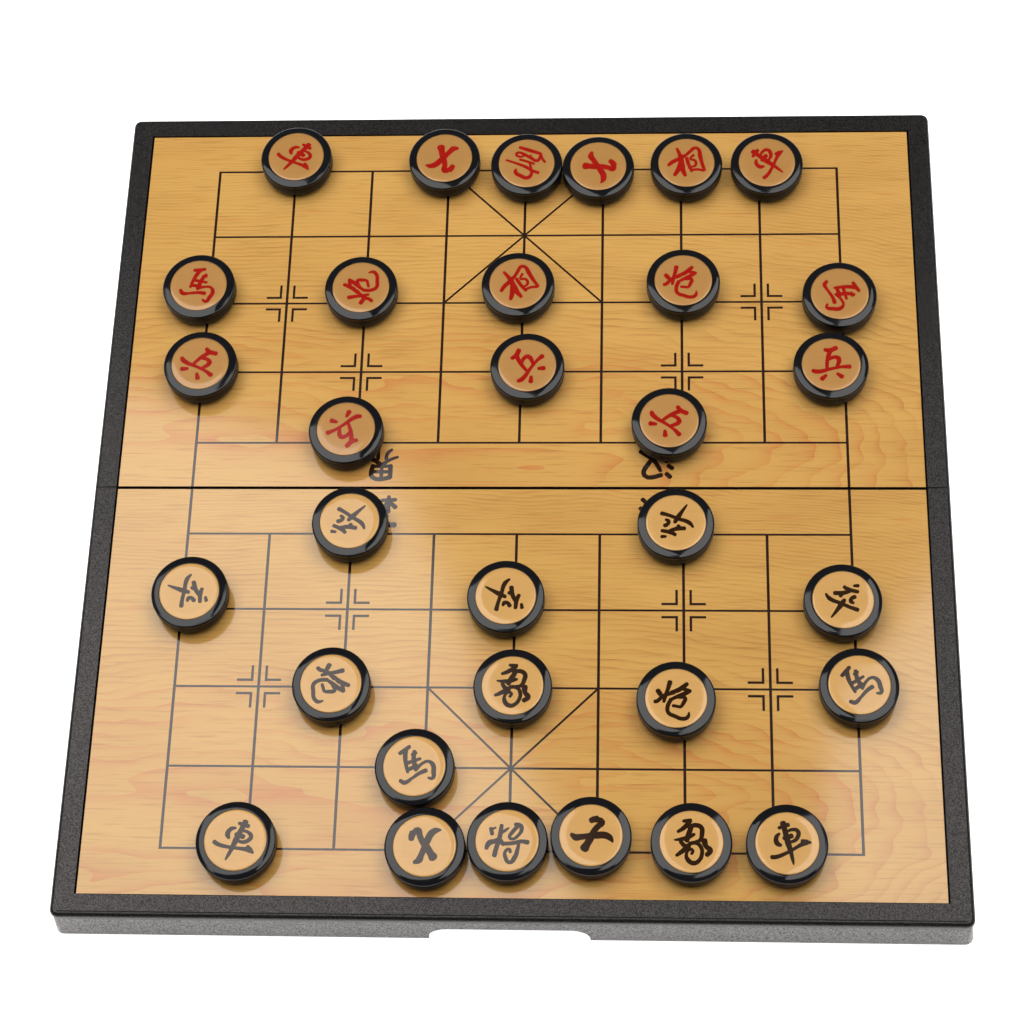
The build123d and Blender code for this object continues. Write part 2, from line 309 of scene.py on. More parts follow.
def case_plastic(settings):
    """ABS, injection moulded in a spark-eroded mould, finer on the rim than on the walls."""
    # The eroded mould leaves fine pebbles: light grains on black. The lip round the rim reflects
    # little and stays black, a painted shade. The walls' grains are drawn coarser, so that they
    # show, and are painted grey as glints against the light, down to the stepped foot, which
    # stays black as painted shade.
    material, tree, place = new_material("case_abs_spark_eroded")
    height = node(tree, "ShaderNodeSeparateXYZ", {0: place}).outputs[2]
    lip_end = CASE_TOP - settings.lip
    # Above the foot the walls take their painted glints and full shine; the stepped foot stays
    # black and shines at 0.08, a painted shade of the step's recess.
    rim, wall, above_foot = (
        node(tree, "ShaderNodeMapRange",
             {"Value": height, "From Min": low, "From Max": high, "To Min": start,
              "To Max": end})
        for low, high, start, end in ((CASE_TOP - 1.5 * MM, CASE_TOP - 0.4 * MM, 0.15, 1.0),
                                      (lip_end - 0.3 * MM, lip_end, 1.0, 0.0),
                                      (settings.foot, settings.foot + 0.3 * MM, 0.0, 1.0)))
    pebbles, glitter, cloud = (
        node(tree, "ShaderNodeTexNoise",
             {"Vector": place, "Scale": 1 / width, "Detail": detail, "Roughness": roughness})
        for width, detail, roughness in ((settings.grain, 2.0, 0.7),
                                         (settings.wall_grain, 3.0, 0.75),
                                         (40 * MM, 2.0, 0.5)))
    rough = node(tree, "ShaderNodeMapRange",
                 {"Value": cloud, "From Min": 0.3, "From Max": 0.7, "To Min": 0.25,
                  "To Max": 0.31})
    tops = node(tree, "ShaderNodeMapRange",
                {"Value": pebbles, "From Min": 0.42, "From Max": 0.62})
    # Painted glints: a share of the walls' grains is drawn grey, as if lit.
    sparks = node(tree, "ShaderNodeMapRange",
                  {"Value": glitter, "From Min": 0.4, "From Max": 0.66, "To Max": above_foot})
    on_rim, on_wall = (
        node(tree, "ShaderNodeMix", {0: share, 6: settings.plastic, 7: lit},
             data_type="RGBA").outputs[2]
        for share, lit in ((tops, settings.worn), (sparks, settings.glint_grey)))
    shade = node(tree, "ShaderNodeMix", {0: wall, 6: on_rim, 7: on_wall}, data_type="RGBA")
    # The pits between the pebbles lie in their own shade and throw little back.
    pits = node(tree, "ShaderNodeMapRange", {"Value": tops, "To Min": 0.26, "To Max": 0.66})
    # On the lip's face, below the rim's rounded edge, the shine falls to 0.15 of the top's:
    # painted shade.
    rim_shine = node(tree, "ShaderNodeMath", {0: pits, 1: rim}, operation="MULTIPLY")
    wall_shine = node(tree, "ShaderNodeMapRange",
                      {"Value": sparks, "To Min": 0.08, "To Max": 1.0})
    shine = node(tree, "ShaderNodeMix", {0: wall, 2: rim_shine, 3: wall_shine})
    bump = node(tree, "ShaderNodeBump",
                {"Height": pebbles, "Distance": settings.grain_depth, "Strength": 0.75})
    shader = node(tree, "ShaderNodeBsdfPrincipled",
                  {"Base Color": shade.outputs[2], "Roughness": rough, "IOR": 1.5,
                   "Specular IOR Level": shine, "Specular Tint": srgb("#fff7f3"),
                   "Normal": bump})
    node(tree, "ShaderNodeOutputMaterial", {"Surface": shader})
    return material


def board_laminate(settings, half):
    """PVC board with a printed wood film under a gloss laminate."""
    # Both halves are cut from one printed roll. Its figure is a nest of growth rings that lie
    # along the seam and close towards the right; away from it they crowd into straight grain.
    # All lengths in this pattern are in millimetres.
    material, tree, place = new_material(f"{half}_board_printed_gloss_laminate")
    cut_from = 0 if half == "near" else -settings.roll_step / MM
    place = node(tree, "ShaderNodeMapping",
                 {"Vector": place, "Location": (0, cut_from, 0), "Scale": (1 / MM, 1 / MM, 0)})
    axes = node(tree, "ShaderNodeSeparateXYZ", {0: place})

    # Noises drawn out to this many millimetres along and across the seam.
    cloud = {}
    for name, along, across, detail, roughness in (
            ("tone", 60, 18, 2, 0.5), ("winding", 46, 24, 3, 0.5), ("jag", 40, 13, 3, 0.55),
            ("drift", 70, 14, 1, 0.5), ("fade", 34, 9, 2, 0.5), ("pores", 15, 0.62, 2, 0.6),
            ("streaks", 20, 2.6, 2, 0.5)):
        drawn = node(tree, "ShaderNodeVectorMath",
                     {0: place, 1: (1 / along, 1 / across, 1)}, operation="MULTIPLY")
        cloud[name] = node(tree, "ShaderNodeTexNoise",
                           {"Vector": drawn, "Scale": 1.0, "Detail": detail,
                            "Roughness": roughness})

    # The figure winds most about its middle line, and hardly by the seam.
    off_line = node(tree, "ShaderNodeMath",
                    {0: axes.outputs[1], 1: settings.figure_line / MM}, operation="ADD")
    apart = node(tree, "ShaderNodeMath", {0: off_line}, operation="ABSOLUTE")
    sway = node(tree, "ShaderNodeMapRange",
                {"Value": apart, "From Min": 12.0, "From Max": 50.0, "To Min": 26.0,
                 "To Max": 7.0})
    winding = node(tree, "ShaderNodeMath", {0: cloud["winding"], 1: 0.5}, operation="SUBTRACT")
    wound = node(tree, "ShaderNodeMath", {0: winding, 1: sway, 2: off_line},
                 operation="MULTIPLY_ADD")
    across = node(tree, "ShaderNodeMath", {0: wound, 1: settings.figure_height / MM},
                  operation="DIVIDE")
    # Its tips are ragged at the left and even out towards the right.
    jag = node(tree, "ShaderNodeMath", {0: cloud["jag"], 1: 0.5}, operation="SUBTRACT")
    ragged = node(tree, "ShaderNodeMapRange",
                  {"Value": axes, "From Min": 20.0, "From Max": 95.0, "To Min": 36.0,
                   "To Max": 11.0})
    tip = node(tree, "ShaderNodeMath", {0: jag, 1: ragged, 2: axes}, operation="MULTIPLY_ADD")
    tip = node(tree, "ShaderNodeMath", {0: tip, 1: 0.0}, operation="MAXIMUM")
    along = node(tree, "ShaderNodeMath", {0: tip, 1: settings.figure_reach / MM},
                 operation="DIVIDE")
    along = node(tree, "ShaderNodeMath", {0: along, 1: 2.0}, operation="POWER")
    reach = node(tree, "ShaderNodeMath", {0: across, 1: across, 2: along},
                 operation="MULTIPLY_ADD")
    drift = node(tree, "ShaderNodeMath", {0: cloud["drift"], 1: 3.2}, operation="MULTIPLY")
    level = node(tree, "ShaderNodeMath", {0: reach, 1: FIGURE_RINGS, 2: drift},
                 operation="MULTIPLY_ADD")
    # Each ring darkens slowly and ends fast.
    turn = node(tree, "ShaderNodeMath", {0: level}, operation="FRACT")
    ring = node(tree, "ShaderNodeMath", {0: turn, 1: 3.2}, operation="POWER")
    open_wood = node(tree, "ShaderNodeMapRange",
                     {"Value": level, "From Min": 7.0, "From Max": 17.0, "To Min": 1.0,
                      "To Max": 0.0})
    strength = node(tree, "ShaderNodeMapRange",
                    {"Value": open_wood, "To Min": 0.36, "To Max": 0.58})
    tone, fade, pores, streaks = (
        node(tree, "ShaderNodeMapRange",
             {"Value": cloud[name], "From Min": low, "From Max": high, "To Min": start,
              "To Max": end})
        for name, low, high, start, end in (
            ("tone", 0.36, 0.66, 0.0, 1.0), ("fade", 0.36, 0.62, 0.3, 1.0),
            ("pores", 0.53, 0.76, 0.0, 0.42), ("streaks", 0.62, 0.8, 0.0, 0.35)))
    rings = node(tree, "ShaderNodeMath", {0: ring, 1: fade}, operation="MULTIPLY")
    rings = node(tree, "ShaderNodeMath", {0: rings, 1: strength}, operation="MULTIPLY")
    late = node(tree, "ShaderNodeMix", {0: open_wood, 6: settings.grain, 7: settings.ring},
                data_type="RGBA")

    # Broad tone, then rings, then pores 15 mm long and 0.6 mm across, then reddish streaks,
    # each laid over the one before. The cut edges show the panel's dark core.
    shade = settings.wood
    for share, over in ((tone, settings.wood_deep), (rings, late.outputs[2]),
                        (pores, settings.grain), (streaks, settings.ring)):
        shade = node(tree, "ShaderNodeMix", {0: share, 6: shade, 7: over},
                     data_type="RGBA").outputs[2]
    facing = node(tree, "ShaderNodeSeparateXYZ",
                  {0: node(tree, "ShaderNodeNewGeometry").outputs["True Normal"]})
    flat = node(tree, "ShaderNodeMath", {0: facing.outputs[2]}, operation="ABSOLUTE")
    film = node(tree, "ShaderNodeMath", {0: flat, 1: 0.5}, operation="GREATER_THAN")
    cut = node(tree, "ShaderNodeMix", {0: film, 6: settings.core, 7: shade}, data_type="RGBA")
    ripple = node(tree, "ShaderNodeTexNoise", {"Vector": place, "Scale": 1 / 20, "Detail": 1.0})
    bump = node(tree, "ShaderNodeBump",
                {"Height": ripple, "Distance": 0.02 * MM, "Strength": 1.0})
    shader = node(tree, "ShaderNodeBsdfPrincipled",
                  {"Base Color": cut.outputs[2], "Roughness": GLOSS, "IOR": LAMINATE_IOR,
                   "Normal": bump})
    node(tree, "ShaderNodeOutputMaterial", {"Surface": shader})
    return material


def ink(name, settings_colour, gloss_ior):
    """Screen ink: flat colour, a little uneven, under the same gloss as its ground."""
    # The ink takes the gloss of the film above it, so it greys where a softbox mirrors in it.
    material, tree, place = new_material(name)
    cloud = node(tree, "ShaderNodeTexNoise",
                 {"Vector": place, "Scale": grains(1.111), "Detail": 2.0})
    share = node(tree, "ShaderNodeMapRange",
                 {"Value": cloud, "From Min": 0.45, "From Max": 0.8, "To Max": 0.25})
    thin = tuple(min(1.0, c * 1.7 + 0.012) for c in settings_colour[:3]) + (1.0,)
    uneven = node(tree, "ShaderNodeMix", {0: share, 6: settings_colour, 7: thin},
                  data_type="RGBA")
    shader = node(tree, "ShaderNodeBsdfPrincipled",
                  {"Base Color": uneven.outputs[2], "Roughness": GLOSS, "IOR": gloss_ior})
    node(tree, "ShaderNodeOutputMaterial", {"Surface": shader})
    return material


def cup_plastic(settings):
    """Polystyrene, moulded in a mould that is polished at the top and blasted at the side."""
    # The rim mirrors the softboxes sharply and is dulled here and there by handling; the side
    # below it is satin, and its reflection is cut as painted shade, so that it stays black.
    material, tree, place = new_material("man_polystyrene_polished_rim")
    touch = node(tree, "ShaderNodeTexNoise",
                 {"Vector": place, "Scale": grains(5.556), "Detail": 4.0})
    height = node(tree, "ShaderNodeSeparateXYZ", {0: place})
    side = node(tree, "ShaderNodeMapRange",
                {"Value": height.outputs[2], "From Min": MAN_HIGH.z - 1.5 * MM,
                 "From Max": MAN_HIGH.z - 0.8 * MM, "To Min": 1.0, "To Max": 0.0})
    polish = node(tree, "ShaderNodeMapRange",
                  {"Value": touch, "From Min": 0.4, "From Max": 0.75, "To Min": 0.05,
                   "To Max": 0.16})
    rough = node(tree, "ShaderNodeMapRange", {"Value": side, "To Min": polish, "To Max": 0.42})
    # The side's shine falls to 0.12: painted shade, for the shaded board that it mirrors.
    shine = node(tree, "ShaderNodeMapRange", {"Value": side, "To Min": 0.5, "To Max": 0.12})
    tint = node(tree, "ShaderNodeMapRange", {"Value": touch, "To Max": 0.35})
    shade = node(tree, "ShaderNodeMix", {0: tint, 6: settings.cup, 7: srgb("#1a1a1d")},
                 data_type="RGBA")
    shader = node(tree, "ShaderNodeBsdfPrincipled",
                  {"Base Color": shade.outputs[2], "Roughness": rough, "IOR": 1.45,
                   "Specular IOR Level": shine})
    node(tree, "ShaderNodeOutputMaterial", {"Surface": shader})
    return material


def face_film(army, ground):
    """Bronze-tinted film under clear lacquer."""
    # Warm tan with a faint brushed grain and a broad satin sheen that brightens towards the
    # light; the lacquer over it mirrors the softboxes like glass.
    material, tree, place = new_material(f"{army}_face_bronze_film_lacquered")
    stretched = node(tree, "ShaderNodeMapping",
                     {"Vector": place, "Scale": grains(6.25, 1.111, 1000)})
    grain = node(tree, "ShaderNodeTexNoise",
                 {"Vector": stretched, "Scale": 1.0, "Detail": 3.0})
    share = node(tree, "ShaderNodeMapRange",
                 {"Value": grain, "From Min": 0.4, "From Max": 0.75, "To Max": 0.5})
    deeper = tuple(channel * 0.9 for channel in ground[:3]) + (1.0,)
    shade = node(tree, "ShaderNodeMix", {0: share, 6: ground, 7: deeper}, data_type="RGBA")
    shader = node(tree, "ShaderNodeBsdfPrincipled",
                  {"Base Color": shade.outputs[2], "Metallic": 0.3, "Roughness": 0.5,
                   "Coat Weight": 1.0, "Coat Roughness": 0.06, "Coat IOR": LACQUER_IOR})
    node(tree, "ShaderNodeOutputMaterial", {"Surface": shader})
    return material


def lined_steel(name, line, detail, rough, shades):
    """Bright steel with the fine lines that rolling or drawing leaves along the seam."""
    # The lines draw its satin shine out along their run. A line's size is in mm on each axis.
    material, tree, place = new_material(name)
    drawn = node(tree, "ShaderNodeMapping", {"Vector": place, "Scale": grains(*line)})
    lines = node(tree, "ShaderNodeTexNoise", {"Vector": drawn, "Scale": 1.0, "Detail": detail})
    satin = node(tree, "ShaderNodeMapRange",
                 {"Value": lines, "To Min": rough[0], "To Max": rough[1]})
    shade = node(tree, "ShaderNodeMix", {0: lines, 6: srgb(shades[0]), 7: srgb(shades[1])},
                 data_type="RGBA")
    shader = node(tree, "ShaderNodeBsdfPrincipled",
                  {"Base Color": shade.outputs[2], "Roughness": satin, "Metallic": 1.0})
    node(tree, "ShaderNodeOutputMaterial", {"Surface": shader})
    return material


def magnet_ferrite():
    """Ferrite, pressed and sintered."""
    # Charcoal grey and chalky, with pores and a little dust from grinding.
    material, tree, place = new_material("magnet_sintered_ferrite")
    pores = node(tree, "ShaderNodeTexNoise",
                 {"Vector": place, "Scale": grains(0.2857), "Detail": 4.0, "Roughness": 0.7})
    shade = node(tree, "ShaderNodeMix", {0: pores, 6: srgb("#2b2b2e"), 7: srgb("#4a4a4d")},
                 data_type="RGBA")
    bump = node(tree, "ShaderNodeBump",
                {"Height": pores, "Distance": 0.03 * MM, "Strength": 0.6})
    shader = node(tree, "ShaderNodeBsdfPrincipled",
                  {"Base Color": shade.outputs[2], "Roughness": 0.62, "IOR": 2.0,
                   "Normal": bump})
    node(tree, "ShaderNodeOutputMaterial", {"Surface": shader})
    return material


def floor_paper(settings):
    """Seamless background paper."""
    # Matt and even, so the set stands in plain light.
    material, tree, place = new_material("floor_seamless_paper")
    fibre = node(tree, "ShaderNodeTexNoise",
                 {"Vector": place, "Scale": grains(0.8333), "Detail": 2.0})
    shade = node(tree, "ShaderNodeMix",
                 {0: fibre, 6: settings.floor_colour, 7: srgb("#f6f6f5")}, data_type="RGBA")
    shader = node(tree, "ShaderNodeBsdfPrincipled",
                  {"Base Color": shade.outputs[2], "Roughness": 0.9, "IOR": 1.3,
                   "Emission Color": (1, 1, 1, 1),
                   "Emission Strength": settings.floor_glow})
    node(tree, "ShaderNodeOutputMaterial", {"Surface": shader})
    return material


# ---- Signs -----------------------------------------------------------------------------

# Brush strokes of each sign as points (across, up, half width) on a grid of 100 by 100
# about the sign's middle.
SIGNS = {
    "chariot": [
        [(-9, 42, 4.4), (15, 44, 5.5)],
        [(4, 51, 7.7), (3, 30, 6.6), (2, 0, 7.7), (2, -24, 5.5), (1, -42, 4.4), (0, -54, 2.2)],
        [(-12, 28, 3.3), (-21, 22, 5.5), (-24, 6, 6.6), (-17, -1, 4.4)],
        [(4, 27, 3.3), (20, 30, 4.4), (33, 23, 5.5), (28, 8, 5.5), (14, 1, 4.4), (5, 3, 3.3)],
        [(-4, 14, 5.5), (15, 15, 6.6)],
        [(-46, -24, 5.5), (-37, -26, 5.5), (-5, -22, 4.4), (20, -15, 4.4), (44, -10, 6.6),
         (55, -12, 3.3)],
        [(36, -3, 4.4), (47, -8, 5.5)],
    ],
    "horse": [
        [(-24, 43, 5), (-12, 46, 6), (4, 52, 5)],
        [(-7, 47, 6), (-14, 30, 6), (-18, 10, 5), (-20, -10, 4)],
        [(12, 36, 5), (4, 16, 6), (2, -3, 6)],
        [(4, 30, 4), (15, 31, 4)],
        [(-15, 13, 5), (20, 13, 4)],
        [(-18, -4, 5), (6, -2, 6)],
        [(0, -11, 5), (20, -1, 4), (36, 0, 4), (45, -12, 6), (41, -31, 6), (34, -45, 5),
         (24, -41, 3)],
        [(-44, -25, 5), (-36, -33, 6), (-16, -29, 4), (8, -22, 5), (24, -21, 6)],
    ],
    "cannon": [
        [(-21, 40, 6.4), (-24, 18, 5.3), (-28, -2, 5.3), (-29, -14, 4.2)],
        [(-48, 13, 6.4), (-41, 5, 6.4)],
        [(-51, -17, 5.3), (-45, -14, 5.3), (-34, 0, 5.3), (-20, 8, 5.3), (-8, 13, 5.3)],
        [(22, 41, 5.3), (12, 30, 6.4), (0, 20, 6.4), (-14, 14, 4.2)],
        [(14, 27, 5.3), (32, 23, 5.3)],
        [(29, 21, 5.3), (16, 12, 6.4), (2, 4, 5.3), (-10, -4, 4.2)],
        [(6, 4, 5.3), (22, 3, 5.3), (20, -10, 5.3), (16, -20, 4.2)],
        [(-5, -21, 4.2), (14, -22, 4.2)],
        [(-12, -5, 5.3), (-18, -25, 5.3), (-14, -41, 5.3), (4, -48, 5.3), (22, -52, 5.3),
         (35, -46, 5.3),
         (37, -33, 2.1)],
    ],
    "advisor": [
        [(-12, 35, 7.6), (-6, 42, 7.6), (-1, 49, 3.8)],
        [(-8, 38, 6.3), (14, 41, 7.6), (8, 26, 7.6), (3, 10, 7.6), (2, -8, 8.9), (-1, -24, 8.9),
         (-3, -36, 11.4)],
        [(-45, -15, 5.1), (-33, -18, 8.9), (-22, -13, 7.6), (-8, -6, 7.6), (14, 5, 8.9),
         (34, 12, 8.9), (46, 10, 7.6), (56, 3, 2.5)],
    ],
    "red_general": [
        [(-12, 50, 4), (-20, 42, 4), (-30, 37, 3)],
        [(-37, 32, 5), (-42, 2, 6), (-47, -28, 5)],
        [(-36, 34, 4), (-20, 33, 5), (-12, 27, 5), (-19, 8, 5), (-26, -10, 5), (-30, -28, 4),
         (-24, -34, 4), (-17, -24, 4), (-21, -12, 3)],
        [(-27, 8, 3), (-21, 2, 4)],
        [(26, 38, 5), (22, 20, 5), (13, 0, 5), (6, -28, 4), (0, -58, 3)],
        [(-1, 21, 4), (-5, 0, 4), (-8, -20, 4)],
        [(-2, 8, 3), (14, 15, 4), (36, 20, 5), (47, 12, 6), (44, -8, 6), (34, -25, 6),
         (26, -25, 4)],
    ],
    "black_general": [
        [(-40, 30, 5), (-37, 16, 5)],
        [(-40, 26, 3), (-29, 32, 3)],
        [(-14, 38, 5), (-19, 4, 6), (-26, -20, 6), (-30, -38, 6)],
        [(-50, -20, 5), (-44, -7, 7), (-30, -2, 6), (-18, 4, 5)],
        [(-16, 18, 4), (-4, 26, 4), (4, 32, 2)],
        [(-15, 0, 5), (-8, -11, 4)],
        [(20, 41, 5), (33, 37, 6), (35, 26, 5), (28, 14, 4), (14, 4, 4), (6, 8, 4), (12, 20, 5),
         (24, 34, 5)],
        [(-12, -8, 5), (12, -7, 5), (36, -2, 5), (51, -4, 6)],
        [(29, -8, 4), (26, -24, 5), (19, -44, 6), (8, -55, 5), (-3, -42, 5), (-3, -27, 4),
         (6, -22, 4), (9, -29, 4)],
    ],
    "red_elephant": [
        [(-22, 47, 4.2), (-18, 34, 5.2), (-14, 14, 7.4), (-14, -4, 8.4)],
        [(-50, -4, 5.2), (-38, 5, 6.3), (-18, 14, 6.3), (-2, 23, 5.2)],
        [(-15, 0, 7.4), (-24, -20, 7.4), (-36, -38, 5.2)],
        [(-12, -6, 7.4), (-12, -24, 7.4), (-7, -42, 5.2)],
        [(2, 14, 5.2), (6, -10, 5.2), (12, -30, 4.2)],
        [(0, 23, 4.2), (14, 35, 5.2), (28, 45, 5.2), (37, 40, 5.2), (40, 18, 6.3), (43, -8, 5.2),
         (48, -30, 4.2)],
        [(10, -26, 4.2), (30, -26, 4.2), (45, -31, 4.2)],
        [(22, 22, 4.2), (11, 12, 3.2)],
        [(12, 8, 3.2), (24, 4, 4.2), (24, -12, 4.2), (12, -16, 3.2)],
    ],
    "black_elephant": [
        [(-10, 54, 4), (7, 52, 6)],
        [(4, 49, 6), (-12, 37, 6), (-28, 30, 4)],
        [(0, 36, 5), (16, 39, 6), (30, 31, 6), (29, 16, 6), (21, 0, 5), (10, -2, 4)],
        [(6, 36, 6), (-4, 18, 7), (-11, 4, 6)],
        [(-40, 11, 2), (-24, 10, 5), (-6, 12, 6), (10, 17, 4)],
        [(-26, 4, 5), (-18, -8, 6), (-8, -14, 5)],
        [(-42, -28, 4), (-26, -20, 6), (-8, -8, 6)],
        [(-5, -4, 5), (12, -6, 5), (21, -20, 5), (19, -36, 5), (9, -50, 5), (-4, -54, 6),
         (-16, -45, 6), (-18, -29, 4), (-9, -19, 4), (-1, -22, 4), (-5, -30, 4)],
        [(31, -3, 8), (33, -18, 6), (41, -29, 7), (31, -39, 6)],
    ],
    "red_soldier": [
        [(-10, 45, 5.8), (2, 42, 6.9), (20, 47, 6.9)],
        [(3, 40, 6.9), (-7, 18, 5.8), (-13, -8, 4.6)],
        [(-8, 14, 4.6), (14, 20, 5.8), (22, 14, 6.9), (14, -8, 4.6)],
        [(-51, -13, 5.8), (-42, -17, 6.9), (0, -13, 4.6), (26, -11, 4.6), (47, -13, 6.9)],
        [(-19, -31, 4.6), (-31, -40, 6.9)],
        [(12, -30, 4.6), (22, -40, 6.9)],
    ],
    "black_soldier": [
        [(12, 46, 4), (21, 50, 5)],
        [(-10, 33, 5), (0, 31, 6), (26, 34, 5)],
        [(8, 29, 5), (-6, 17, 6), (-26, 8, 6)],
        [(-8, 16, 5), (-10, 6, 5)],
        [(24, 18, 6), (18, 10, 5), (20, 3, 6), (27, 1, 4)],
        [(-46, -3, 3), (-33, -11, 6), (0, -12, 5), (24, -13, 5), (43, -12, 6)],
        [(3, 0, 5), (0, -16, 7), (-4, -34, 5), (-10, -57, 2)],
    ],
    "chu": [
        [(-46, 34, 5.8), (-6, 36, 5.8)],
        [(-26, 48, 5.8), (-26, 6, 5.8)],
        [(-26, 32, 5.8), (-46, 12, 4.3)],
        [(-24, 30, 5.8), (-8, 16, 5.8)],
        [(6, 36, 5.8), (46, 38, 5.8)],
        [(26, 48, 5.8), (26, 6, 5.8)],
        [(26, 34, 5.8), (8, 12, 4.3)],
        [(26, 34, 5.8), (46, 14, 7.2)],
        [(-26, 2, 5.8), (26, 4, 7.2), (20, -6, 5.8)],
        [(0, 2, 5.8), (0, -34, 5.8)],
        [(2, -16, 5.8), (24, -14, 5.8)],
        [(-22, -12, 5.8), (-30, -34, 5.8), (-44, -46, 4.3)],
        [(-28, -24, 5.8), (0, -38, 7.2), (46, -42, 8.7)],
    ],
    "he": [
        [(-40, 40, 6.8), (-30, 30, 6.8)],
        [(-46, 12, 6.8), (-36, 4, 6.8)],
        [(-48, -40, 6.8), (-38, -24, 5.4), (-28, -8, 4.1)],
        [(-18, 36, 6.8), (46, 38, 6.8)],
        [(34, 36, 6.8), (34, -36, 6.8), (18, -32, 4.1)],
        [(-12, 16, 5.4), (-12, -12, 5.4)],
        [(-12, 16, 5.4), (14, 16, 5.4), (12, -10, 5.4)],
        [(-12, -8, 5.4), (12, -8, 5.4)],
    ],
    "han": [
        [(-40, 40, 7.2), (-30, 30, 7.2)],
        [(-46, 12, 7.2), (-36, 4, 7.2)],
        [(-48, -40, 7.2), (-38, -24, 5.8), (-28, -8, 4.3)],
        [(-14, 34, 7.2), (34, 36, 7.2), (22, -4, 7.2), (-16, -44, 4.3)],
        [(-12, 20, 5.8), (8, -14, 7.2), (44, -42, 8.7)],
    ],
    "jie": [
        [(-26, 42, 7), (-26, 4, 7)],
        [(-26, 42, 7), (26, 42, 7), (26, 4, 7)],
        [(-24, 24, 5.6), (24, 24, 5.6)],
        [(0, 42, 5.6), (0, 6, 5.6)],
        [(-26, 6, 5.6), (26, 6, 5.6)],
        [(-2, 2, 7), (-18, -12, 5.6), (-46, -24, 4.2)],
        [(2, 2, 7), (20, -12, 7), (46, -24, 8.4)],
        [(-12, -18, 5.6), (-16, -36, 5.6), (-28, -48, 4.2)],
        [(12, -18, 5.6), (12, -50, 5.6)],
    ],
}
SIGN_GRID = 100

# How far each man is turned on its point, in degrees against the clock, seen from above.
TURNS = {
    "red_chariot_left": -37, "red_advisor_left": -158, "red_general": -100,
    "red_advisor_right": -85, "red_elephant_right": 5, "red_chariot_right": 52,
    "red_horse_left": -12, "red_cannon_left": 108, "red_elephant_left": 23,
    "red_cannon_right": -3, "red_horse_right": -77, "red_soldier_1": -32,
    "red_soldier_3": 50, "red_soldier_5": 7, "red_soldier_2": -150, "red_soldier_4": -42,
    "black_soldier_2": 147, "black_soldier_4": 160, "black_soldier_1": -96,
    "black_soldier_3": -105, "black_soldier_5": -23, "black_cannon_left": -68,
    "black_elephant_left": -2, "black_cannon_right": -8, "black_horse_right": 32,
    "black_horse_left": 20, "black_chariot_left": -22, "black_advisor_left": 43,
    "black_general": 0, "black_advisor_right": -20, "black_elephant_right": 10,
    "black_chariot_right": 15,
}


# How far each point of a tip lies beyond its stroke's end, and how wide it is there, in half
# widths of the stroke, and how much each point is laid above the last, in strokes.
TIP = ((0.45, 0.84), (0.75, 0.4))
POINT_STEP = 0.08


def sign_on(man):
    """Name of the sign that a man bears."""
    army, kind = man.split("_")[:2]
    return kind if kind in SIGNS else f"{army}_{kind}"


def tipped(stroke):
    """The stroke with a rounded tip at each end, as a soft brush leaves it."""
    points = [Vector(point[:2]) for point in stroke]
    tips = []
    for end, inner, width in ((points[0], points[1], stroke[0][2]),
                              (points[-1], points[-2], stroke[-1][2])):
        out = (end - inner).normalized() * width
        tips.append([(*(end + out * reach), width * share) for reach, share in TIP])
    return [tips[0][1], tips[0][0], *stroke, tips[1][0], tips[1][1]]


def brush_sign(name, sign, size, height):
    """Strokes of one sign as flat prints, each a little above the one before."""
    unit = size / SIGN_GRID
    curve = bpy.data.curves.new(name, "CURVE")
    curve.dimensions = "3D"
    curve.extrude = 1.0
    curve.resolution_u = 5
    for order, stroke in enumerate(SIGNS[sign]):
        points = tipped(stroke)
        spline = curve.splines.new("BEZIER")
        spline.bezier_points.add(len(points) - 1)
        for step, (knot, (across, up, half_width)) in enumerate(
                zip(spline.bezier_points, points)):
            level = (order + POINT_STEP * step) / len(SIGNS[sign]) * height
            knot.co = (across * unit, up * unit, level)
            knot.handle_left_type = knot.handle_right_type = "AUTO"
            knot.radius = half_width * unit
            knot.tilt = radians(90)
    item = bpy.data.objects.new(name, curve)
    bpy.context.scene.collection.objects.link(item)
    only(item)
    bpy.ops.object.convert(target="MESH")
    bpy.ops.object.mode_set(mode="EDIT")
    bpy.ops.mesh.select_all(action="SELECT")
    bpy.ops.mesh.extrude_region_move(TRANSFORM_OT_translate={"value": (0, 0, -height)})
    bpy.ops.mesh.select_all(action="SELECT")
    bpy.ops.mesh.normals_make_consistent(inside=False)
    bpy.ops.object.mode_set(mode="OBJECT")
    bpy.ops.object.shade_flat()
    settle(item)
    return item


# ---- Pieces ----------------------------------------------------------------------------

# Files are counted from the middle one.
OUTER_FILE = 4


def bar(start, end, width, level, height):
    """Thin printed line between two points of the board."""
    run = Vector(end) - Vector(start)
    middle = (Vector(start) + Vector(end)) / 2
    bpy.ops.mesh.primitive_cube_add(
        size=1, location=(*middle, level + height / 2), rotation=(0, 0, atan2(run.y, run.x)),
        scale=(run.length, width, height))
    return bpy.context.view_layer.objects.active


def corner_marks(x, y, settings, level, height):
    """Up to four corner marks round a point, none beyond the outer files."""
    near = settings.mark_gap
    start, tip = near - settings.mark_line / 2, near + settings.mark_arm
    bars = []
    for right in (-1, 1):
        if abs(x + right * near) > OUTER_FILE * settings.file_spacing:
            continue
        for up in (-1, 1):
            beside, above = x + right * near, y + up * near
            bars.append(bar((x + right * start, above), (x + right * tip, above),
                            settings.mark_line, level, height))
            bars.append(bar((beside, y + up * start), (beside, y + up * tip),
                            settings.mark_line, level + height * 0.1, height))
    return bars


